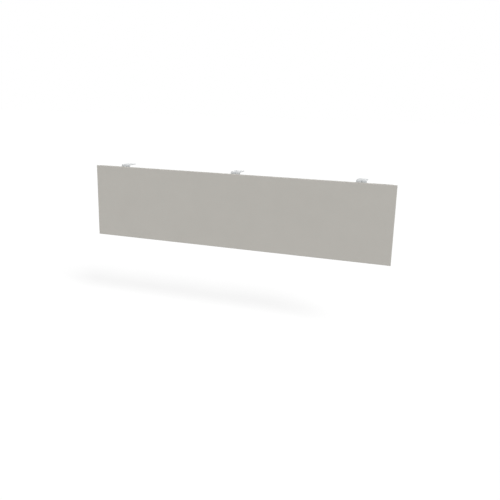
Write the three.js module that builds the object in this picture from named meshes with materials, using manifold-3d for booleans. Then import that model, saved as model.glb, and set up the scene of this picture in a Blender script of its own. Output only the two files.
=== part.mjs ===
// A folded steel privacy panel that hangs from three angle brackets.
// Sizes are in millimetres. X runs along the width, to the right as seen from the front.
// -Y is the front and +Z is up. The origin is the middle of the centre bracket's seat.
// The brackets are screwed to the plane z = 0.

import * as THREE from "three";
import { mergeVertices } from "three/addons/utils/BufferGeometryUtils.js";
import Module from "manifold-3d";

const wasm = await Module();
wasm.setup();

// Face panel: one sheet, folded at the top and bottom and hemmed at both ends
const panelWidth = 1425;
const panelDrop = 350; // from the mounting plane to the bottom edge
const panelTopGap = 10; // from the mounting plane to the top edge
const panelSheet = 1.2;
const panelBendRadius = 1.2; // inside a fold
const trayDepth = 18; // from the front face to the backs of the lips
const lipHeight = 10;
const returnChamfer = 8; // at the free corners of the top and bottom returns
const returnSetback = 3; // from a hem's free edge to the ends of the returns
const hemWidth = 12;
const hemGap = 0.6; // between the two layers of a hem

// Stiffeners: hat-section channels, spot-welded to the back of the face
const stiffenerSheet = 1.5;
const stiffenerBendRadius = 1.5;
const crownWidth = 50;
const weldFlangeWidth = 15;
const crownProud = 0.3; // by which a crown stands behind the lips
const lipClearance = 1; // from a lip's edge to the end of a stiffener

// Brackets: bent plate, with a rib pressed into the bend
const endInset = 150; // from the end of the panel to the middle of an outer bracket
const bracketPlate = 3;
const bracketBendRadius = 3;
const bracketCornerRadius = 6;
const seatSetback = 38; // from the front of the leg to the middle of the seat's slots
const seatOverhang = 22; // from the middle of the slots to the seat's back edge
const seatSlotWidth = 6.5;
const seatSlotLength = 16;
const seatSlotEdge = 10; // from the side of the bracket to the middle of a slot
const ribReach = 18; // along each face, from the outer corner to the end of the rib
const ribHalfWidth = 6;
const screwInset = 19; // from the top of a stiffener to the upper screw
const screwSpacing = 45;
const legMargin = 18; // from the lower screw to the end of the leg
const legSlotClearance = 0.6;
const legSlotTravel = 10;

// Fasteners: M6 button-head socket screws, large washers and hexagon weld nuts
const threadDiameter = 6;
const threadClearance = 0.3; // between the plain stand-ins for the two threads
const screwLength = 16;
const screwTipChamfer = 0.8;
const headDiameter = 10.5;
const headHeight = 3.3;
const headLand = 0.4; // straight side under the dome
const crestDiameter = 5.6; // flat at the top of the dome
const socketAcrossFlats = 4;
const socketDepth = 2.2;
const washerClearance = 0.4; // by which a washer's hole is wider than the thread
const washerDiameter = 18;
const washerThickness = 1.6;
const nutAcrossFlats = 11;
const nutHeight = 5;
const nutChamfer = 0.5;
const collarDiameter = 8;
const collarSetback = 0.5; // from the end of a nut's collar to the back of the crown
const collarClearance = 0.3; // from the nut's collar to the hole in the crown

// Fineness of round shapes, and the overrun of every cutter
const sheetBendSteps = 5;
const plateBendSteps = 9;
const domeSteps = 5;
const roundSteps = 24;
const slotSteps = 8;
const overrun = 5;
const mergeDistance = 1e-4;
const hexagonSides = 6;

// Places worked out from the sizes above
const legFrontY = -seatSetback;
const faceY = legFrontY - crownProud - trayDepth;
const faceBackY = faceY + panelSheet;
const panelTopZ = -panelTopGap;
const panelBottomZ = -panelDrop;
const panelMiddleZ = (panelTopZ + panelBottomZ) / 2;
const panelHeight = panelTopZ - panelBottomZ;
const returnEndX = panelWidth / 2 - hemWidth - returnSetback;
const stiffenerTopZ = panelTopZ - lipHeight - lipClearance;
const stiffenerBottomZ = panelBottomZ + lipHeight + lipClearance;
const crownBend = stiffenerSheet + stiffenerBendRadius;
const bracketWidth = crownWidth - 2 * crownBend;
const bracketBend = bracketPlate + bracketBendRadius;
const screwRows = {
  upper: stiffenerTopZ - screwInset,
  lower: stiffenerTopZ - screwInset - screwSpacing,
};
const legEndZ = screwRows.lower - legMargin;
const stations = {
  left: endInset - panelWidth / 2,
  centre: 0,
  right: panelWidth / 2 - endInset,
};

// Finishes
const panelCoat = new THREE.MeshStandardMaterial({ color: 0xb4b1ab, roughness: 0.6, metalness: 0 });
const bracketCoat = new THREE.MeshStandardMaterial({ color: 0xc6c8c9, roughness: 0.5, metalness: 0 });
const zincPlate = new THREE.MeshStandardMaterial({ color: 0xb9bcc0, roughness: 0.35, metalness: 1 });

// Directions for outlines: an outline in Y and Z runs along X, and one in X and Z runs along Y
const unitX = new THREE.Vector3(1, 0, 0);
const unitY = new THREE.Vector3(0, 1, 0);
const unitZ = new THREE.Vector3(0, 0, 1);
const alongX = new THREE.Matrix4().makeBasis(unitY, unitZ, unitX);
const alongY = new THREE.Matrix4().makeBasis(unitX, unitZ, unitY.clone().negate());
const alongZ = new THREE.Matrix4();

// Turns a closed geometry into a solid that can be joined and cut.
function solidOf(geometry) {
  const bare = geometry.clone();
  bare.deleteAttribute("normal");
  bare.deleteAttribute("uv");
  const merged = mergeVertices(bare, mergeDistance);
  const corners = merged.index.array;
  const kept = [];
  for (let first = 0; first < corners.length; first += 3) {
    const [a, b, c] = corners.slice(first, first + 3);
    if (a !== b && b !== c && c !== a) kept.push(a, b, c);
  }
  const vertProperties = merged.attributes.position.array;
  return new wasm.Manifold(new wasm.Mesh({ numProp: 3, vertProperties, triVerts: new Uint32Array(kept) }));
}

// Turns a solid back into a geometry with flat faces.
function geometryOf(solid) {
  const made = solid.getMesh();
  const geometry = new THREE.BufferGeometry();
  geometry.setAttribute("position", new THREE.BufferAttribute(made.vertProperties, made.numProp));
  geometry.setIndex(new THREE.BufferAttribute(made.triVerts, 1));
  const flat = geometry.toNonIndexed();
  flat.computeVertexNormals();
  return flat;
}

// A solid with the given outline, as long as said, half of it on each side of the outline's own plane.
function prism(outline, length, direction) {
  const options = { depth: length, bevelEnabled: false, curveSegments: slotSteps };
  const geometry = new THREE.ExtrudeGeometry(outline, options).translate(0, 0, -length / 2);
  return solidOf(geometry.applyMatrix4(direction));
}

// A solid turned about Y from its profile, given as [radius, y] in order of rising y along the outside.
function turned(profile) {
  const points = profile.map(([radius, y]) => new THREE.Vector2(radius, y));
  return solidOf(new THREE.LatheGeometry(points, roundSteps));
}

// A plain round rod about Y, half of its length on each side of the origin.
function roundRod(radius, length) {
  return solidOf(new THREE.CylinderGeometry(radius, radius, length, roundSteps));
}

// A hexagonal rod about Y, half of its length on each side of the origin.
function hexagonRod(acrossFlats, length) {
  const cornerRadius = acrossFlats / 2 / Math.cos(Math.PI / hexagonSides);
  return solidOf(new THREE.CylinderGeometry(cornerRadius, cornerRadius, length, hexagonSides));
}

// One side of a folded sheet: the line at the given offset to the left of the middle line.
function foldedSide(corners, offset, bendRadius, bendSteps) {
  const last = corners.length - 1;
  return corners.flatMap((corner, index) => {
    const arriving = corner.clone().sub(corners[Math.max(index - 1, 0)]).normalize();
    const leaving = corners[Math.min(index + 1, last)].clone().sub(corner).normalize();
    const heading = index === 0 ? leaving : arriving;
    const left = new THREE.Vector2(-heading.y, heading.x);
    if (index === 0 || index === last) return [corner.clone().addScaledVector(left, offset)];
    const turn = Math.atan2(arriving.cross(leaving), arriving.dot(leaving));
    const side = Math.sign(turn);
    const tangent = bendRadius * Math.tan(Math.abs(turn) / 2);
    const bendStart = corner.clone().addScaledVector(arriving, -tangent);
    const centre = bendStart.addScaledVector(left, side * bendRadius);
    return Array.from({ length: bendSteps + 1 }, (_, step) => {
      const normal = left.clone().rotateAround(new THREE.Vector2(), (turn * step) / bendSteps);
      return centre.clone().addScaledVector(normal, offset - side * bendRadius);
    });
  });
}

// The outline of a folded sheet, from the corners of its middle line, each bent at the same inside radius.
function foldedOutline(corners, sheet, insideRadius, bendSteps) {
  const middle = corners.map(([across, up]) => new THREE.Vector2(across, up));
  const bendRadius = insideRadius + sheet / 2;
  const leftSide = foldedSide(middle, sheet / 2, bendRadius, bendSteps);
  const rightSide = foldedSide(middle, -sheet / 2, bendRadius, bendSteps);
  const points = [...leftSide, ...rightSide.reverse()];
  const isNew = (point, index) => index === 0 || point.distanceTo(points[index - 1]) > mergeDistance;
  return new THREE.Shape(points.filter(isNew));
}

// A slot along the outline's second axis, centred on its origin.
function slotOutline(width, length) {
  const radius = width / 2;
  const reach = length / 2 - radius;
  const outline = new THREE.Shape();
  outline.absarc(0, reach, radius, 0, Math.PI);
  outline.absarc(0, -reach, radius, Math.PI, 2 * Math.PI);
  return outline;
}

// An outline through the given points.
function straightOutline(points) {
  return new THREE.Shape(points.map(([across, up]) => new THREE.Vector2(across, up)));
}

// What rounds off a plate's corner. The corner is at the outline's origin, and points the two given ways.
function cornerOutline(radius, wayAcross, wayUp) {
  const points = [[overrun, overrun], [-radius, overrun]];
  for (let step = 0; step <= slotSteps; step += 1) {
    const angle = ((Math.PI / 2) * step) / slotSteps;
    points.push([radius * (Math.sin(angle) - 1), radius * (Math.cos(angle) - 1)]);
  }
  points.push([overrun, -radius]);
  return straightOutline(points.map(([across, up]) => [wayAcross * across, wayUp * up]));
}

// The panel's folded section: lip, return, face, return, lip
function trayBody() {
  const half = panelSheet / 2;
  const faceMiddleY = faceY + half;
  const lipMiddleY = faceY + trayDepth - half;
  const corners = [
    [lipMiddleY, panelBottomZ + lipHeight],
    [lipMiddleY, panelBottomZ + half],
    [faceMiddleY, panelBottomZ + half],
    [faceMiddleY, panelTopZ - half],
    [lipMiddleY, panelTopZ - half],
    [lipMiddleY, panelTopZ - lipHeight],
  ];
  const outline = foldedOutline(corners, panelSheet, panelBendRadius, sheetBendSteps);
  let tray = prism(outline, 2 * returnEndX, alongX);
  for (const side of [-1, 1]) {
    const cut = straightOutline([
      [side * (returnEndX + overrun), faceY + trayDepth - returnChamfer - overrun],
      [side * (returnEndX + overrun), faceY + trayDepth + overrun],
      [side * (returnEndX - returnChamfer - overrun), faceY + trayDepth + overrun],
    ]);
    tray = tray.subtract(prism(cut, panelHeight + 2 * overrun, alongZ).translate(0, 0, panelMiddleZ));
  }
  return tray;
}

// One end of the panel: the face runs on to the end and folds back on itself as a hem.
function hemmedEnd(side) {
  const half = panelSheet / 2;
  const frontLayerY = faceY + half;
  const backLayerY = frontLayerY + panelSheet + hemGap;
  const foldX = panelWidth / 2 - half;
  const corners = [
    [side * returnEndX, frontLayerY],
    [side * foldX, frontLayerY],
    [side * foldX, backLayerY],
    [side * (panelWidth / 2 - hemWidth), backLayerY],
  ];
  const outline = foldedOutline(corners, panelSheet, hemGap / 2, sheetBendSteps);
  return prism(outline, panelHeight, alongZ).translate(0, 0, panelMiddleZ);
}

// A strip of the face that joins an end to the folded section, clear of the folds at its top and bottom.
function faceJoint(side) {
  const halfHeight = panelHeight / 2 - panelSheet - panelBendRadius;
  const strip = straightOutline([
    [side * returnEndX - returnSetback / 2, faceY],
    [side * returnEndX + returnSetback / 2, faceY],
    [side * returnEndX + returnSetback / 2, faceBackY],
    [side * returnEndX - returnSetback / 2, faceBackY],
  ]);
  return prism(strip, 2 * halfHeight, alongZ).translate(0, 0, panelMiddleZ);
}

function facePanel() {
  let sheet = trayBody();
  for (const side of [-1, 1]) {
    sheet = sheet.add(hemmedEnd(side)).add(faceJoint(side));
  }
  return sheet;
}

// A stiffener at x = 0: weld flange, web, crown, web, weld flange, with two holes for the nuts' collars
function stiffener() {
  const half = stiffenerSheet / 2;
  const webX = crownWidth / 2 - half;
  const edgeX = crownWidth / 2 + weldFlangeWidth;
  const flangeY = faceBackY + half;
  const crownY = legFrontY - half;
  const corners = [
    [-edgeX, flangeY],
    [-webX, flangeY],
    [-webX, crownY],
    [webX, crownY],
    [webX, flangeY],
    [edgeX, flangeY],
  ];
  const length = stiffenerTopZ - stiffenerBottomZ;
  const middleZ = (stiffenerTopZ + stiffenerBottomZ) / 2;
  const outline = foldedOutline(corners, stiffenerSheet, stiffenerBendRadius, sheetBendSteps);
  let channel = prism(outline, length, alongZ).translate(0, 0, middleZ);
  for (const rowZ of Object.values(screwRows)) {
    const hole = roundRod(collarDiameter / 2 + collarClearance, 2 * (stiffenerSheet + overrun));
    channel = channel.subtract(hole.translate(0, legFrontY, rowZ));
  }
  return channel;
}

// A U-shaped prism across the bracket's bend at 45 degrees, from a depth under the outer corner to its tip.
function ribPrism(halfWidth, fromDepth) {
  const centreDepth = ribReach / Math.SQRT2 - ribHalfWidth;
  const outline = new THREE.Shape();
  outline.moveTo(halfWidth, fromDepth);
  outline.lineTo(halfWidth, centreDepth);
  outline.absarc(0, centreDepth, halfWidth, 0, Math.PI);
  outline.lineTo(-halfWidth, fromDepth);
  const inwards = unitY.clone().sub(unitZ).normalize();
  const across = unitX.clone().cross(inwards);
  const tilted = new THREE.Matrix4().makeBasis(unitX, inwards, across);
  return prism(outline, 2 * (ribReach + bracketBend), tilted).translate(0, legFrontY, 0);
}

// The part of the rib that stands out of the plate, kept behind the leg's front and under the seat
function pressedRib() {
  const bendDepth = bracketBend * (Math.SQRT2 - 1);
  const reach = 2 * (ribReach + bracketBend);
  const corner = straightOutline([
    [legFrontY, 0],
    [legFrontY, -reach],
    [legFrontY + reach, -reach],
    [legFrontY + reach, 0],
  ]);
  return ribPrism(ribHalfWidth, bendDepth + bracketPlate / 2).intersect(prism(corner, bracketWidth, alongX));
}

// A bracket at x = 0: the leg lies on the stiffener's crown and the seat meets the mounting plane.
function bracket() {
  const half = bracketPlate / 2;
  const corners = [
    [legFrontY + half, legEndZ],
    [legFrontY + half, -half],
    [seatOverhang, -half],
  ];
  const outline = foldedOutline(corners, bracketPlate, bracketBendRadius, plateBendSteps);
  const bent = prism(outline, bracketWidth, alongX);
  const dent = ribPrism(ribHalfWidth - bracketPlate, -overrun);
  let plate = bent.add(pressedRib()).subtract(dent);
  for (const side of [-1, 1]) {
    plate = plate.subtract(seatSlot(side)).subtract(seatCorner(side)).subtract(legCorner(side));
  }
  for (const rowZ of Object.values(screwRows)) plate = plate.subtract(legSlot(rowZ));
  return plate;
}

function seatSlot(side) {
  const slot = prism(slotOutline(seatSlotWidth, seatSlotLength), bracketPlate + 2 * overrun, alongZ);
  return slot.translate(side * (bracketWidth / 2 - seatSlotEdge), 0, -bracketPlate / 2);
}

function legSlot(rowZ) {
  const width = threadDiameter + legSlotClearance;
  const slot = prism(slotOutline(width, width + legSlotTravel), bracketPlate + 2 * overrun, alongY);
  return slot.translate(0, legFrontY + bracketPlate / 2, rowZ);
}

function seatCorner(side) {
  const cutter = prism(cornerOutline(bracketCornerRadius, side, 1), bracketPlate + 2 * overrun, alongZ);
  return cutter.translate((side * bracketWidth) / 2, seatOverhang, -bracketPlate / 2);
}

function legCorner(side) {
  const cutter = prism(cornerOutline(bracketCornerRadius, side, -1), bracketPlate + 2 * overrun, alongY);
  return cutter.translate((side * bracketWidth) / 2, legFrontY + bracketPlate / 2, legEndZ);
}

// A button-head screw: its head sits at y = 0 and its shank points to the front.
function screw() {
  const shankRadius = threadDiameter / 2 - threadClearance;
  const headRadius = headDiameter / 2;
  const crestRadius = crestDiameter / 2;
  const profile = [
    [0, -screwLength],
    [shankRadius - screwTipChamfer, -screwLength],
    [shankRadius, screwTipChamfer - screwLength],
    [shankRadius, 0],
    [headRadius, 0],
  ];
  for (let step = 0; step <= domeSteps; step += 1) {
    const angle = ((Math.PI / 2) * step) / domeSteps;
    const radius = crestRadius + (headRadius - crestRadius) * Math.cos(angle);
    profile.push([radius, headLand + (headHeight - headLand) * Math.sin(angle)]);
  }
  profile.push([0, headHeight]);
  return turned(profile).subtract(hexagonRod(socketAcrossFlats, 2 * socketDepth).translate(0, headHeight, 0));
}

// A flat washer with its front face at y = 0
function washer() {
  const inner = (threadDiameter + washerClearance) / 2;
  const outer = washerDiameter / 2;
  return turned([
    [inner, 0],
    [outer, 0],
    [outer, washerThickness],
    [inner, washerThickness],
    [inner, 0],
  ]);
}

// A hexagon weld nut: its body is in front of y = 0, and its collar stands behind it in the crown's hole.
function weldNut() {
  const flatRadius = nutAcrossFlats / 2;
  const cornerRise = flatRadius / Math.cos(Math.PI / hexagonSides) - flatRadius;
  const chamfered = turned([
    [0, -nutHeight],
    [flatRadius, -nutHeight],
    [flatRadius + 2 * cornerRise, 2 * nutChamfer - nutHeight],
    [flatRadius + 2 * cornerRise, 0],
    [0, 0],
  ]);
  const body = hexagonRod(nutAcrossFlats, 2 * (nutHeight + overrun)).intersect(chamfered);
  const collar = roundRod(collarDiameter / 2, 2 * (stiffenerSheet - collarSetback));
  const bore = roundRod(threadDiameter / 2, 2 * (nutHeight + overrun));
  return body.add(collar).subtract(bore);
}

function piece(name, solid, finish) {
  const mesh = new THREE.Mesh(geometryOf(solid), finish);
  mesh.name = name;
  return mesh;
}

// The screw, washer and nut of one fastening, in a station's own frame
function fastening(label, rowZ) {
  const washerY = legFrontY + bracketPlate;
  const pieces = [
    [piece(`screw_${label}`, screw(), zincPlate), washerY + washerThickness],
    [piece(`washer_${label}`, washer(), zincPlate), washerY],
    [piece(`weld_nut_${label}`, weldNut(), zincPlate), legFrontY - stiffenerSheet],
  ];
  return pieces.map(([mesh, y]) => {
    mesh.position.set(0, y, rowZ);
    return mesh;
  });
}

// A stiffener, its bracket and their fastenings, all at one place along the panel
function station(place, x) {
  const group = new THREE.Group();
  group.position.x = x;
  group.add(piece(`stiffener_${place}`, stiffener(), panelCoat));
  group.add(piece(`bracket_${place}`, bracket(), bracketCoat));
  for (const [row, rowZ] of Object.entries(screwRows)) {
    group.add(...fastening(`${place}_${row}`, rowZ));
  }
  return group;
}

const privacyPanel = new THREE.Group();
privacyPanel.add(piece("face_panel", facePanel(), panelCoat));
for (const [place, x] of Object.entries(stations)) {
  privacyPanel.add(station(place, x));
}

export default privacyPanel;
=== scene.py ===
"""A sheet-steel privacy panel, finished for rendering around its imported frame.

The frame gives the places and sizes of the parts. This script adds the camera and studio, rounds and coats
the sheet parts, and makes the spot welds and the threaded, chamfered fasteners. It works in metres, with +Z
up and the panel's plain face towards -Y.
"""

import math

import bmesh
import bpy
from mathutils import Matrix, Vector
from mathutils.bvhtree import BVHTree
from mathutils.geometry import intersect_point_line

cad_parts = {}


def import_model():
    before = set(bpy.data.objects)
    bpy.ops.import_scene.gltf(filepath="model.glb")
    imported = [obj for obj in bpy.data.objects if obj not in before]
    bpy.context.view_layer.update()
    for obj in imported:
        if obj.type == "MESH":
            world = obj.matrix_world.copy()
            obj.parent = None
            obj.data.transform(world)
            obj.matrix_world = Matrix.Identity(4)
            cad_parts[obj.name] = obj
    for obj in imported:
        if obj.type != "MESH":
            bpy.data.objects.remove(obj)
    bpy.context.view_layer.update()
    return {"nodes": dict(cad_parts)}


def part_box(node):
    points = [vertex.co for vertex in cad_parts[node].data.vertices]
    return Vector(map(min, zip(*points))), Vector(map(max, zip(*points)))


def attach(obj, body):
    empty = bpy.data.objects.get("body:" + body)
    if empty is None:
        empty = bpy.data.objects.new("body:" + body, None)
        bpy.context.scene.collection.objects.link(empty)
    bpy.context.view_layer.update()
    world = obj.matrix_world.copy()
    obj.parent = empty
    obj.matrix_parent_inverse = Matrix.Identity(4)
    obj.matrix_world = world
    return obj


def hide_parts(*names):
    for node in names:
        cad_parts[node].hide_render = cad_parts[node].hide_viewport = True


MM = 0.001
BODY = "root"
PLACES = ("left", "centre", "right")
ROWS = ("upper", "lower")

# The camera that puts the panel's outline where the photograph has it
PHOTO_PIXELS = 500
FOCAL_PIXELS = 578.6
SENSOR_WIDTH_MM = 36.0
CAMERA_PLACE = (0.9309, -2.4626, 0.2924)
CAMERA_YAW_DEG = -19.36
CAMERA_PITCH_DEG = 14.09
CAMERA_ROLL_DEG = 1.47

# Studio, with the directions that its two lamps shine from
FLOOR_DROP = 0.707  # from the mounting plane to the floor
FLOOR_REACH = 40.0
FLOOR_COLOUR = (0.80, 0.80, 0.80)
SEEN_FLOOR_COLOUR = (0.20, 0.20, 0.20)  # together with the glow, white with a faint shadow
SEEN_FLOOR_GLOW = 0.82
SKY_STRENGTH = 0.38
KEY_STRENGTH = 2.58
KEY_FROM = (0.56, -0.46, 0.69)
KEY_SPREAD_DEG = 20.0
FILL_STRENGTH = 0.50
FILL_FROM = (-0.55, 1.00, 0.50)
FILL_SPREAD_DEG = 60.0

# Powder coat, with linear colours and with its roughness from the glossiest to the dullest place
PANEL_COLOUR = (0.456, 0.440, 0.407)
PANEL_ROUGHNESS = (0.52, 0.66)
BRACKET_COLOUR = (0.565, 0.578, 0.584)
BRACKET_ROUGHNESS = (0.40, 0.52)
COAT_SPECULAR = 0.35
COAT_SPREAD = 0.04
GRAIN_SIZE = 0.8 * MM
GRAIN_HEIGHT = 0.12 * MM
GRAIN_SHARE = 0.7  # of the grain in the pattern of light and dark, beside the cloud
FILM_SIZE = 5 * MM
FILM_HEIGHT = 0.1 * MM
FILM_STRENGTH = 0.6
CLOUD_SIZE = 120 * MM

# Zinc plate
ZINC_COLOUR = (0.62, 0.63, 0.64)
ZINC_ROUGHNESS = (0.26, 0.42)
ZINC_SPECULAR = 0.5
ZINC_SPREAD = 0.03
FACET_SIZE = 0.2 * MM
HAZE_SIZE = 3 * MM
HAZE_HEIGHT = 0.02 * MM
HAZE_STRENGTH = 0.2

PATTERN_SPAN = (0.3, 0.7)  # what most of a noise pattern's values lie between

# Sheet parts
SHEET_ROUND = 0.3 * MM  # on the edges of the thin sheets
PLATE_ROUND = 0.4 * MM  # on the edges of the brackets' plate
STIFFENER_CUTS = (0.0,)  # from the middle of a stiffener, through its holes
BRACKET_CUTS = (-12 * MM, 0.0, 12 * MM)  # from the middle of a bracket, through its slots
EDGE_STEPS = 3
EDGE_TRIES = 5
EDGE_CLEARANCE = 0.35 * MM  # from rounds that would run into each other
SHARP_ANGLE = math.radians(40)
FLAT_ANGLE = math.radians(0.5)
MERGE_DISTANCE = 0.001 * MM

# Spot welds, on the flanges of the stiffeners
STIFFENER_SHEET = 1.5 * MM
WELD_EDGE = 6.5 * MM  # from a flange's edge to the middle of its welds
WELD_END = 18 * MM  # from a stiffener's end to its first weld
WELDS_IN_ROW = 6
WELD_SIZES = {"Radius": 3.0 * MM, "Rim": 0.7 * MM, "Rise": 0.22 * MM, "Dish": 0.17 * MM, "Sink": 0.3 * MM}
# A weld's section from its edge inwards, in shares of the rim's width, of its rise and of the dish's depth
WELD_SHARES = ((0.0, 0.0, 0.0), (0.4, 0.8, 0.0), (1.0, 1.0, 0.0), (1.6, 1.0, 0.7), (2.4, 1.0, 1.0))

# Fasteners
SCREW_SIZES = {
    "Head Radius": 5.25 * MM,
    "Head Height": 3.3 * MM,
    "Land": 0.4 * MM,
    "Crest Radius": 2.8 * MM,
    "Socket Apothem": 2.0 * MM,
    "Socket Depth": 2.2 * MM,
    "Drill Point": 0.5 * MM,
    "Edge": 0.15 * MM,
    "Length": 16.0 * MM,
    "Thread Radius": 2.95 * MM,
    "Root Radius": 2.45 * MM,
    "Tip Radius": 2.15 * MM,
    "Pitch": 1.0 * MM,
}
# Where the crest of the thread starts and ends, and then its root, in shares of the pitch
THREAD_SHARES = (0.0, 0.125, 0.4375, 0.6875)
WASHER_SIZES = {"Hole Radius": 3.2 * MM, "Radius": 9.0 * MM, "Thickness": 1.6 * MM, "Edge": 0.2 * MM}
NUT_SIZES = {
    "Apothem": 5.5 * MM,
    "Height": 5.0 * MM,
    "Chamfer": 0.5 * MM,
    "Collar Radius": 4.0 * MM,
    "Collar Height": 1.0 * MM,
    "Bore Radius": 3.0 * MM,
    "Edge": 0.4 * MM,
}
ROUND_STEPS = 48
WELD_STEPS = 20
DOME_STEPS = 8
CHAMFER_RINGS = 4
HEXAGON_SIDES = 6


# Camera and studio


def add_to_scene(name, data):
    """A new object at the origin, in the scene."""
    thing = bpy.data.objects.new(name, data)
    bpy.context.scene.collection.objects.link(thing)
    return thing


def add_camera():
    lens = bpy.data.cameras.new("camera")
    lens.sensor_width = SENSOR_WIDTH_MM
    lens.lens = FOCAL_PIXELS / PHOTO_PIXELS * SENSOR_WIDTH_MM
    camera = add_to_scene("camera", lens)
    heading = Matrix.Rotation(-math.radians(CAMERA_YAW_DEG), 4, "Z")
    tilt = Matrix.Rotation(math.pi / 2 - math.radians(CAMERA_PITCH_DEG), 4, "X")
    roll = Matrix.Rotation(math.radians(CAMERA_ROLL_DEG), 4, "Z")
    camera.matrix_world = Matrix.Translation(CAMERA_PLACE) @ heading @ tilt @ roll
    bpy.context.scene.camera = camera


def add_sun(name, strength, comes_from, spread_deg):
    lamp = bpy.data.lights.new(name, "SUN")
    lamp.energy = strength
    lamp.angle = math.radians(spread_deg)
    sun = add_to_scene(name, lamp)
    sun.rotation_euler = Vector(comes_from).to_track_quat("Z", "Y").to_euler()


def seen_directly(nodes, links):
    """1 for rays from the camera, off gloss or through glass, and 0 for the rays that light the object."""
    path = nodes.new("ShaderNodeLightPath")
    total = path.outputs["Is Camera Ray"]
    for label in ("Is Glossy Ray", "Is Transmission Ray"):
        most = nodes.new("ShaderNodeMath")
        most.operation = "MAXIMUM"
        links.new(total, most.inputs[0])
        links.new(path.outputs[label], most.inputs[1])
        total = most.outputs[0]
    return total


def add_sky():
    world = bpy.data.worlds.new("white_sky")
    world.use_nodes = True
    nodes, links = world.node_tree.nodes, world.node_tree.links
    lighting = nodes["Background"]
    lighting.inputs["Color"].default_value = (1, 1, 1, 1)
    lighting.inputs["Strength"].default_value = SKY_STRENGTH
    backdrop = nodes.new("ShaderNodeBackground")
    backdrop.inputs["Color"].default_value = (1, 1, 1, 1)
    mix = nodes.new("ShaderNodeMixShader")
    links.new(seen_directly(nodes, links), mix.inputs[0])
    links.new(lighting.outputs[0], mix.inputs[1])
    links.new(backdrop.outputs[0], mix.inputs[2])
    links.new(mix.outputs[0], nodes["World Output"].inputs["Surface"])
    bpy.context.scene.world = world


def matt(nodes, colour):
    """A matt surface of the given colour."""
    shader = nodes.new("ShaderNodeBsdfDiffuse")
    shader.inputs["Color"].default_value = (*colour, 1)
    return shader.outputs[0]


def floor_material():
    """A pale matt floor, which looks white with a faint shadow, and isn't there as seen from below."""
    material = bpy.data.materials.new("pale_floor")
    material.use_nodes = True
    nodes, links = material.node_tree.nodes, material.node_tree.links
    nodes.remove(nodes["Principled BSDF"])
    glow = nodes.new("ShaderNodeEmission")
    glow.inputs["Strength"].default_value = SEEN_FLOOR_GLOW
    seen = nodes.new("ShaderNodeAddShader")
    links.new(matt(nodes, SEEN_FLOOR_COLOUR), seen.inputs[0])
    links.new(glow.outputs[0], seen.inputs[1])
    mix = nodes.new("ShaderNodeMixShader")
    links.new(seen_directly(nodes, links), mix.inputs[0])
    links.new(matt(nodes, FLOOR_COLOUR), mix.inputs[1])
    links.new(seen.outputs[0], mix.inputs[2])
    upper_side = nodes.new("ShaderNodeMixShader")
    links.new(nodes.new("ShaderNodeNewGeometry").outputs["Backfacing"], upper_side.inputs[0])
    links.new(mix.outputs[0], upper_side.inputs[1])
    links.new(nodes.new("ShaderNodeBsdfTransparent").outputs[0], upper_side.inputs[2])
    links.new(upper_side.outputs[0], nodes["Material Output"].inputs["Surface"])
    return material


def add_floor():
    ways = ((-1, -1), (1, -1), (1, 1), (-1, 1))
    corners = [(across * FLOOR_REACH, along * FLOOR_REACH, -FLOOR_DROP) for across, along in ways]
    mesh = bpy.data.meshes.new("floor")
    mesh.from_pydata(corners, [], [(0, 1, 2, 3)])
    mesh.materials.append(floor_material())
    add_to_scene("floor", mesh)


# Finishes

# The sockets of a Mix node, by number because their names repeat
MIX_SHARE = 0
MIX_NUMBERS = (2, 3)
MIX_COLOURS = (6, 7)
MIXED_NUMBER = 0
MIXED_COLOUR = 2


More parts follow.
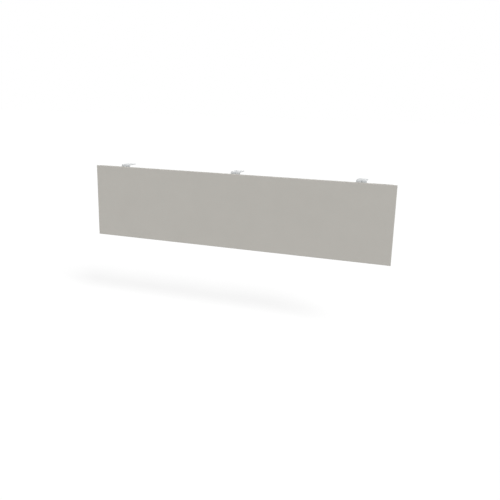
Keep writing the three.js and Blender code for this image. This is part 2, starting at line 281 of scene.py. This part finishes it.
class Finish:
    """Builds one material around its Principled shader."""

    def __init__(self, name, metallic, specular):
        self.material = bpy.data.materials.new(name)
        self.material.use_nodes = True
        self.nodes = self.material.node_tree.nodes
        self.links = self.material.node_tree.links
        self.shader = self.nodes["Principled BSDF"]
        self.shader.inputs["Metallic"].default_value = metallic
        self.shader.inputs["Specular IOR Level"].default_value = specular
        self.place = self.nodes.new("ShaderNodeTexCoord").outputs["Object"]

    def noise(self, grain_size, detail):
        """Even noise whose grains are about the given size across, in metres."""
        noise = self.nodes.new("ShaderNodeTexNoise")
        noise.inputs["Scale"].default_value = 1 / grain_size
        noise.inputs["Detail"].default_value = detail
        self.links.new(self.place, noise.inputs["Vector"])
        return noise.outputs["Fac"]

    def cells(self, cell_size):
        """Even cells of about the given size across, in metres, each with a value of its own."""
        voronoi = self.nodes.new("ShaderNodeTexVoronoi")
        voronoi.inputs["Scale"].default_value = 1 / cell_size
        self.links.new(self.place, voronoi.inputs["Vector"])
        return voronoi.outputs["Color"]

    def blend(self, first, second, share):
        """Two patterns in one, with the given share of the second."""
        mix = self.nodes.new("ShaderNodeMix")
        mix.inputs[MIX_SHARE].default_value = share
        for pattern, socket in zip((first, second), MIX_NUMBERS):
            self.links.new(pattern, mix.inputs[socket])
        return mix.outputs[MIXED_NUMBER]

    def between(self, amount, low, high):
        """A pattern's values, spread over low to high."""
        spread = self.nodes.new("ShaderNodeMapRange")
        spread.inputs["From Min"].default_value = PATTERN_SPAN[0]
        spread.inputs["From Max"].default_value = PATTERN_SPAN[1]
        spread.inputs["To Min"].default_value = low
        spread.inputs["To Max"].default_value = high
        self.links.new(amount, spread.inputs["Value"])
        return spread.outputs["Result"]

    def shade(self, amount, colour, spread):
        """The colour, made lighter and darker by the given share of itself."""
        mix = self.nodes.new("ShaderNodeMix")
        mix.data_type = "RGBA"
        for factor, socket in zip((1 - spread, 1 + spread), MIX_COLOURS):
            mix.inputs[socket].default_value = (*[part * factor for part in colour], 1)
        self.links.new(self.between(amount, 0, 1), mix.inputs[MIX_SHARE])
        self.links.new(mix.outputs[MIXED_COLOUR], self.shader.inputs["Base Color"])

    def roughen(self, amount, low, high):
        """A roughness from low to high, as the pattern goes."""
        self.links.new(self.between(amount, low, high), self.shader.inputs["Roughness"])

    def emboss(self, heights):
        """Bumps, each given as its pattern, its height in metres and its strength."""
        normal = None
        for pattern, height, strength in heights:
            bump = self.nodes.new("ShaderNodeBump")
            bump.inputs["Distance"].default_value = height
            bump.inputs["Strength"].default_value = strength
            self.links.new(pattern, bump.inputs["Height"])
            if normal:
                self.links.new(normal, bump.inputs["Normal"])
            normal = bump.outputs["Normal"]
        self.links.new(normal, self.shader.inputs["Normal"])


def powder_coat(name, colour, roughness):
    """A fine-texture powder coat: a close sandy grain over the slow waves of the film."""
    finish = Finish(name, 0, COAT_SPECULAR)
    grain = finish.noise(GRAIN_SIZE, detail=2)
    film = finish.noise(FILM_SIZE, detail=1)
    cloud = finish.noise(CLOUD_SIZE, detail=2)
    finish.shade(finish.blend(cloud, grain, GRAIN_SHARE), colour, COAT_SPREAD)
    finish.roughen(grain, *roughness)
    finish.emboss([(film, FILM_HEIGHT, FILM_STRENGTH), (grain, GRAIN_HEIGHT, 1)])
    return finish.material


def zinc_plate():
    """Bright zinc: small crystal facets, each a little lighter or duller than the next."""
    finish = Finish("zinc_plate", 1, ZINC_SPECULAR)
    facets = finish.cells(FACET_SIZE)
    haze = finish.noise(HAZE_SIZE, detail=3)
    finish.shade(facets, ZINC_COLOUR, ZINC_SPREAD)
    finish.roughen(haze, *ZINC_ROUGHNESS)
    finish.emboss([(haze, HAZE_HEIGHT, HAZE_STRENGTH)])
    return finish.material


# Sheet parts


def evaluated_mesh(piece):
    """What a piece looks like with its modifiers, as a plain mesh."""
    return bpy.data.meshes.new_from_object(piece.evaluated_get(bpy.context.evaluated_depsgraph_get()))


def whole_faces(node, cuts):
    """A CAD node's solid with each flat face in one piece.

    The cuts, across X and given from the solid's middle, divide the faces that have holes, because a face
    can't go round a hole.
    """
    low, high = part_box(node.name)
    work = bmesh.new()
    work.from_mesh(node.data)
    bmesh.ops.remove_doubles(work, verts=work.verts, dist=MERGE_DISTANCE)
    for cut in cuts:
        place = ((low.x + high.x) / 2 + cut, 0, 0)
        solid = [*work.verts, *work.edges, *work.faces]
        made = bmesh.ops.bisect_plane(
            work, geom=solid, dist=MERGE_DISTANCE, plane_co=place, plane_no=(1, 0, 0)
        )
        for item in made["geom_cut"]:
            if isinstance(item, bmesh.types.BMEdge):
                item.seam = True
    bmesh.ops.dissolve_limit(
        work, angle_limit=FLAT_ANGLE, verts=work.verts, edges=work.edges, delimit={"SEAM"}
    )
    work.verts.index_update()
    points = [vertex.co[:] for vertex in work.verts]
    faces = [[vertex.index for vertex in face.verts] for face in work.faces]
    work.free()
    mesh = bpy.data.meshes.new(node.name)
    mesh.from_pydata(points, [], faces)
    return mesh


def outer_edges(mesh):
    """The numbers of the edges that stand out sharply, each with its two ends."""
    work = bmesh.new()
    work.from_mesh(mesh)
    edges = {}
    for edge in work.edges:
        if edge.is_convex and edge.calc_face_angle() > SHARP_ANGLE:
            edges[edge.index] = [vertex.co.copy() for vertex in edge.verts]
    work.free()
    return edges


def bevelled(mesh, edges, width):
    """A copy of the mesh with the given edges rounded."""
    draft = add_to_scene("draft", mesh.copy())
    weights = draft.data.attributes.new("bevel_weight_edge", "FLOAT", "EDGE")
    for index in edges:
        weights.data[index].value = 1
    bevel = draft.modifiers.new("rounded_edges", "BEVEL")
    bevel.width = width
    bevel.segments = EDGE_STEPS
    bevel.limit_method = "WEIGHT"
    bevel.use_clamp_overlap = False
    made = evaluated_mesh(draft)
    bpy.data.objects.remove(draft)
    return made


def crossings(mesh):
    """The middles of the triangles that cut through another one."""
    work = bmesh.new()
    work.from_mesh(mesh)
    bmesh.ops.triangulate(work, faces=work.faces)
    work.faces.ensure_lookup_table()
    tree = BVHTree.FromBMesh(work)
    places = []
    for pair in tree.overlap(tree):
        first, second = (work.faces[index] for index in pair)
        if not set(first.verts) & set(second.verts):
            places.append(first.calc_center_median())
    work.free()
    return places


def distance_to(ends, place):
    """How far a place is from the line between two ends."""
    nearest, share = intersect_point_line(place, *ends)
    if share < 0:
        nearest = ends[0]
    if share > 1:
        nearest = ends[1]
    return (nearest - place).length


def rounded(mesh, width):
    """The mesh with its outer edges rounded, except where their rounds would run into each other."""
    edges = outer_edges(mesh)
    for _ in range(EDGE_TRIES):
        made = bevelled(mesh, edges, width)
        tight = crossings(made)
        if not tight:
            break
        edges = {
            index: ends
            for index, ends in edges.items()
            if all(distance_to(ends, place) > EDGE_CLEARANCE for place in tight)
        }
    return made


def merge_doubles(mesh):
    """Makes one of the corners that lie at the same place."""
    work = bmesh.new()
    work.from_mesh(mesh)
    bmesh.ops.remove_doubles(work, verts=work.verts, dist=MERGE_DISTANCE)
    work.to_mesh(mesh)
    work.free()


def finish_piece(piece, replaced=None):
    """Lets a piece ride on the one body, and stand for a CAD node where it replaces one."""
    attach(piece, BODY)
    if replaced:
        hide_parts(replaced)


def add_coated_sheet(node, coat, width, cuts=()):
    """A sheet part whose edges are rounded under its coat."""
    mesh = rounded(whole_faces(node, cuts), width)
    merge_doubles(mesh)
    mesh.materials.append(coat)
    mesh.shade_smooth()
    mesh.set_sharp_from_angle(angle=SHARP_ANGLE)
    draft = add_to_scene("draft", mesh)
    even = draft.modifiers.new("even_shading", "WEIGHTED_NORMAL")
    even.keep_sharp = True
    triangles = draft.modifiers.new("triangles", "TRIANGULATE")
    triangles.keep_custom_normals = True
    piece = add_to_scene("coated_" + node.name, evaluated_mesh(draft))
    bpy.data.objects.remove(draft)
    finish_piece(piece, node.name)


# Geometry Nodes


class Field:
    """A number that varies over the points of a tree, on which arithmetic is done by Math nodes."""

    def __init__(self, maker, socket):
        self.maker = maker
        self.socket = socket

    def __add__(self, other):
        return self.maker.math("ADD", self, other)

    def __sub__(self, other):
        return self.maker.math("SUBTRACT", self, other)

    def __mul__(self, other):
        return self.maker.math("MULTIPLY", self, other)

    def __truediv__(self, other):
        return self.maker.math("DIVIDE", self, other)

    def __neg__(self):
        return self.maker.math("MULTIPLY", self, -1.0)


class Maker:
    """Builds a tree that puts one small part on every point it is given, with its axis along +Y."""

    def __init__(self, name, sizes):
        self.tree = bpy.data.node_groups.new(name, "GeometryNodeTree")
        self.new_socket("Parts", "OUTPUT", "Geometry")
        self.new_socket("Places", "INPUT", "Geometry")
        self.new_socket("Finish", "INPUT", "Material")
        self.new_socket("Seed", "INPUT", "Int")
        for label, size in sizes.items():
            self.new_socket(label, "INPUT", "Float").default_value = size
        self.given = self.tree.nodes.new("NodeGroupInput").outputs

    def new_socket(self, label, way, kind):
        return self.tree.interface.new_socket(label, in_out=way, socket_type="NodeSocket" + kind)

    def size(self, label):
        return Field(self, self.given[label])

    def feed(self, socket, value):
        if isinstance(value, Field):
            self.tree.links.new(value.socket, socket)
        else:
            socket.default_value = value

    def add(self, kind, inputs, **settings):
        """The first output of a new node with these settings and inputs, given by name or by number."""
        node = self.tree.nodes.new(kind)
        for label, value in settings.items():
            setattr(node, label, value)
        for label, value in inputs.items():
            self.feed(node.inputs[label], value)
        return Field(self, node.outputs[0])

    def math(self, operation, *numbers):
        return self.add("ShaderNodeMath", dict(enumerate(numbers)), operation=operation)

    def choose(self, index, fields):
        """The field whose number in the list is the index."""
        node = self.tree.nodes.new("GeometryNodeIndexSwitch")
        node.data_type = "FLOAT"
        while len(node.index_switch_items) < len(fields):
            node.index_switch_items.new()
        for socket, field in zip(node.inputs, [index, *fields]):
            self.feed(socket, field)
        return Field(self, node.outputs[0])

    def spun(self, rings, steps, shape):
        """A closed skin round the Z axis, whose shape gives the radius and height of a ring at a turn."""
        grid_inputs = {"Vertices X": steps + 1, "Vertices Y": rings}
        grid = self.add("GeometryNodeMeshGrid", grid_inputs)
        index = self.add("GeometryNodeInputIndex", {})
        ring = self.math("MODULO", index, float(rings))
        turn = self.math("FLOOR", (index + 0.5) / float(rings)) * (2 * math.pi / steps)
        radius, height = shape(ring, turn)
        across = radius * self.math("COSINE", turn)
        along = radius * self.math("SINE", turn)
        place = self.add("ShaderNodeCombineXYZ", {"X": across, "Y": along, "Z": height})
        skin = self.add("GeometryNodeSetPosition", {"Geometry": grid, "Position": place})
        return self.add("GeometryNodeMergeByDistance", {"Geometry": skin, "Distance": MERGE_DISTANCE})

    def turned(self, profile, steps=ROUND_STEPS):
        """A part turned from its profile: pairs of radius and height, or functions of the turn to them."""

        def shape(ring, turn):
            points = [point(turn) if callable(point) else point for point in profile]
            radii, heights = zip(*points)
            return self.choose(ring, radii), self.choose(ring, heights)

        return self.spun(len(profile), steps, shape)

    def hexagon(self, turn, apothem):
        """The radius of a hexagon at a turn."""
        side = 2 * math.pi / HEXAGON_SIDES
        from_flat = self.math("MODULO", turn + side * HEXAGON_SIDES, side) - side / 2
        return apothem / self.math("COSINE", from_flat)

    def finish(self, *skins):
        """Joins the skins, puts them on each place at a random turn, and gives them their finish."""
        join = self.tree.nodes.new("GeometryNodeJoinGeometry")
        for skin in skins:
            self.tree.links.new(skin.socket, join.inputs[0])
        chance = self.tree.nodes.new("FunctionNodeRandomValue")
        for socket in chance.inputs:
            if socket.enabled and socket.name == "Max":
                socket.default_value = 2 * math.pi
            if socket.name == "Seed":
                self.tree.links.new(self.given["Seed"], socket)
        turn = next(Field(self, socket) for socket in chance.outputs if socket.enabled)
        pose = self.add("ShaderNodeCombineXYZ", {"X": -math.pi / 2, "Y": turn})
        part = Field(self, join.outputs[0])
        inputs = {"Points": self.size("Places"), "Instance": part, "Rotation": pose}
        copies = self.add("GeometryNodeInstanceOnPoints", inputs)
        solid = self.add("GeometryNodeRealizeInstances", {"Geometry": copies})
        inputs = {"Geometry": solid, "Material": self.size("Finish")}
        coated = self.add("GeometryNodeSetMaterial", inputs)
        out = self.tree.nodes.new("NodeGroupOutput")
        self.tree.links.new(coated.socket, out.inputs["Parts"])
        return self.tree


def screw_tree():
    """A button-head screw in one closed skin, from its tip to its socket, with its seat at height 0."""
    maker = Maker("button_head_screw", SCREW_SIZES)
    head_radius, head_height = maker.size("Head Radius"), maker.size("Head Height")
    land, crest, edge = maker.size("Land"), maker.size("Crest Radius"), maker.size("Edge")
    apothem, floor = maker.size("Socket Apothem"), head_height - maker.size("Socket Depth")
    length, pitch = maker.size("Length"), maker.size("Pitch")
    outer, root = maker.size("Thread Radius"), maker.size("Root Radius")
    head = [(head_radius - edge, 0.0), (head_radius, edge)]
    for step in range(DOME_STEPS + 1):
        angle = math.pi / 2 * step / DOME_STEPS
        radius = crest + (head_radius - crest) * math.cos(angle)
        head.append((radius, land + (head_height - land) * math.sin(angle)))
    head += [
        lambda turn: (maker.hexagon(turn, apothem + edge), head_height),
        lambda turn: (maker.hexagon(turn, apothem), head_height - edge),
        lambda turn: (maker.hexagon(turn, apothem), floor),
        (0.0, floor - maker.size("Drill Point")),
    ]

    # A ring at each end of the rod, and those of its windings, of which the first starts before the tip
    rings_in_pitch = len(THREAD_SHARES)
    windings = 1 + math.ceil(SCREW_SIZES["Length"] / SCREW_SIZES["Pitch"])
    rod_rings = 2 + rings_in_pitch * windings

    def rod(ring, turn):
        """The threaded rod. Its ring 0 is the middle of its tip.

        The other rings climb by a pitch in a turn, as the thread does, and stay at an end of the rod where
        they would pass it.
        """
        wound = maker.math("MAXIMUM", ring - 1.0, 0.0)
        step = maker.math("MODULO", wound, float(rings_in_pitch))
        winding = maker.math("FLOOR", wound / float(rings_in_pitch)) - 1.0
        climb = (winding + maker.choose(step, THREAD_SHARES) + turn / (2 * math.pi)) * pitch
        height = maker.math("MINIMUM", maker.math("MAXIMUM", climb, 0.0) - length, 0.0)
        threaded = maker.choose(step, (outer, outer, root, root))
        tip = maker.size("Tip Radius") + (height + length)
        neck = root - height
        radius = maker.math("MINIMUM", threaded, maker.math("MINIMUM", tip, neck))
        return radius * maker.math("MINIMUM", ring, 1.0), height

    def skin(ring, turn):
        """The rings of the rod, and then those of the head."""
        points = [rod(ring, turn), *[point(turn) if callable(point) else point for point in head]]
        radii, heights = zip(*points)
        index = maker.math("MAXIMUM", ring - float(rod_rings - 1), 0.0)
        return maker.choose(index, radii), maker.choose(index, heights)

    return maker.finish(maker.spun(rod_rings + len(head), ROUND_STEPS, skin))


def washer_tree():
    """A flat washer with its front face at height 0 and its stamped edges rounded."""
    maker = Maker("flat_washer", WASHER_SIZES)
    hole, rim = maker.size("Hole Radius"), maker.size("Radius")
    top, edge = maker.size("Thickness"), maker.size("Edge")
    loop = [
        (hole + edge, 0.0),
        (rim - edge, 0.0),
        (rim, edge),
        (rim, top - edge),
        (rim - edge, top),
        (hole + edge, top),
        (hole, top - edge),
        (hole, edge),
    ]
    return maker.finish(maker.turned([*loop, loop[0]]))


def weld_nut_tree():
    """A hexagon weld nut: its chamfered body is under height 0, and its collar stands over it."""
    maker = Maker("hexagon_weld_nut", NUT_SIZES)
    apothem, chamfer = maker.size("Apothem"), maker.size("Chamfer")
    bottom, bore, edge = -maker.size("Height"), maker.size("Bore Radius"), maker.size("Edge")
    collar, collar_top = maker.size("Collar Radius"), maker.size("Collar Height")
    corner_rise = apothem * (1 / math.cos(math.pi / HEXAGON_SIDES) - 1)

    def body_ring(share):
        """A ring of the chamfered end, at a share of the chamfer's height."""

        def point(turn):
            cone = apothem + corner_rise * share
            radius = maker.math("MINIMUM", cone, maker.hexagon(turn, apothem))
            return radius, bottom + chamfer * share

        return point

    loop = [
        (bore + edge, bottom),
        *[body_ring(step / CHAMFER_RINGS) for step in range(CHAMFER_RINGS + 1)],
        lambda turn: (maker.hexagon(turn, apothem), 0.0),
        (collar, 0.0),
        (collar, collar_top),
        (bore + edge, collar_top),
        (bore, collar_top - edge),
        (bore, bottom + edge),
    ]
    return maker.finish(maker.turned([*loop, loop[0]]))


def spot_weld_tree():
    """The dished mark of a spot weld: a low rim round a shallow hollow, let into the sheet."""
    maker = Maker("spot_weld", WELD_SIZES)
    radius, rim, rise = maker.size("Radius"), maker.size("Rim"), maker.size("Rise")
    dish, sink = maker.size("Dish"), maker.size("Sink")
    profile = [(0.0, -sink), (radius, -sink)]
    for inwards, up, down in WELD_SHARES:
        profile.append((radius - rim * inwards, rise * up - dish * down))
    profile.append((0.0, rise - dish))
    return maker.finish(maker.turned(profile, WELD_STEPS))


def grow(name, tree, places, finish, seed):
    """A plain mesh of the tree's part at every place."""
    points = bpy.data.meshes.new(name + "_places")
    points.from_pydata(places, [], [])
    carrier = add_to_scene(name + "_places", points)
    modifier = carrier.modifiers.new("parts", "NODES")
    modifier.node_group = tree
    wanted = {"Finish": finish, "Seed": seed}
    for item in tree.interface.items_tree:
        if item.in_out == "INPUT" and item.name in wanted:
            modifier[item.identifier] = wanted[item.name]
    mesh = evaluated_mesh(carrier)
    bpy.data.objects.remove(carrier)
    mesh.shade_smooth()
    mesh.set_sharp_from_angle(angle=SHARP_ANGLE)
    return add_to_scene(name, mesh)


# Welds and fasteners


def weld_places(node_name):
    """The middles of the spot welds on the back of one stiffener's two flanges."""
    low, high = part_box(node_name)
    pitch = (high.z - low.z - 2 * WELD_END) / (WELDS_IN_ROW - 1)
    heights = [low.z + WELD_END + pitch * count for count in range(WELDS_IN_ROW)]
    back = low.y + STIFFENER_SHEET
    return [(x, back, z) for x in (low.x + WELD_EDGE, high.x - WELD_EDGE) for z in heights]


def add_spot_welds(coat):
    tree = spot_weld_tree()
    for seed, place in enumerate(PLACES):
        welds = grow(f"spot_welds_{place}", tree, weld_places(f"stiffener_{place}"), coat, seed)
        finish_piece(welds)


def axis_place(node_name, height):
    """A point on a fastener's axis, at the given height along +Y from the front of its node."""
    low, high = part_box(node_name)
    return ((low.x + high.x) / 2, low.y + height, (low.z + high.z) / 2)


def add_fasteners(zinc):
    kinds = {
        "screw": ("threaded", screw_tree(), SCREW_SIZES["Length"]),
        "washer": ("rounded", washer_tree(), 0.0),
        "weld_nut": ("chamfered", weld_nut_tree(), NUT_SIZES["Height"]),
    }
    for kind, (look, tree, seat_height) in kinds.items():
        labels = [f"{place}_{row}" for place in PLACES for row in ROWS]
        for seed, label in enumerate(labels):
            node_name = f"{kind}_{label}"
            place = axis_place(node_name, seat_height)
            piece = grow(f"{look}_{node_name}", tree, [place], zinc, seed)
            finish_piece(piece, node_name)


def main():
    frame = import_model()
    bpy.context.scene.view_settings.view_transform = "Standard"
    add_camera()
    add_sky()
    add_sun("key_light", KEY_STRENGTH, KEY_FROM, KEY_SPREAD_DEG)
    add_sun("fill_light", FILL_STRENGTH, FILL_FROM, FILL_SPREAD_DEG)
    add_floor()
    panel_coat = powder_coat("panel_coat", PANEL_COLOUR, PANEL_ROUGHNESS)
    bracket_coat = powder_coat("bracket_coat", BRACKET_COLOUR, BRACKET_ROUGHNESS)
    zinc = zinc_plate()
    nodes = frame["nodes"]
    add_coated_sheet(nodes["face_panel"], panel_coat, SHEET_ROUND)
    for place in PLACES:
        stiffener, bracket = nodes[f"stiffener_{place}"], nodes[f"bracket_{place}"]
        add_coated_sheet(stiffener, panel_coat, SHEET_ROUND, STIFFENER_CUTS)
        add_coated_sheet(bracket, bracket_coat, PLATE_ROUND, BRACKET_CUTS)
    add_spot_welds(panel_coat)
    add_fasteners(zinc)


main()
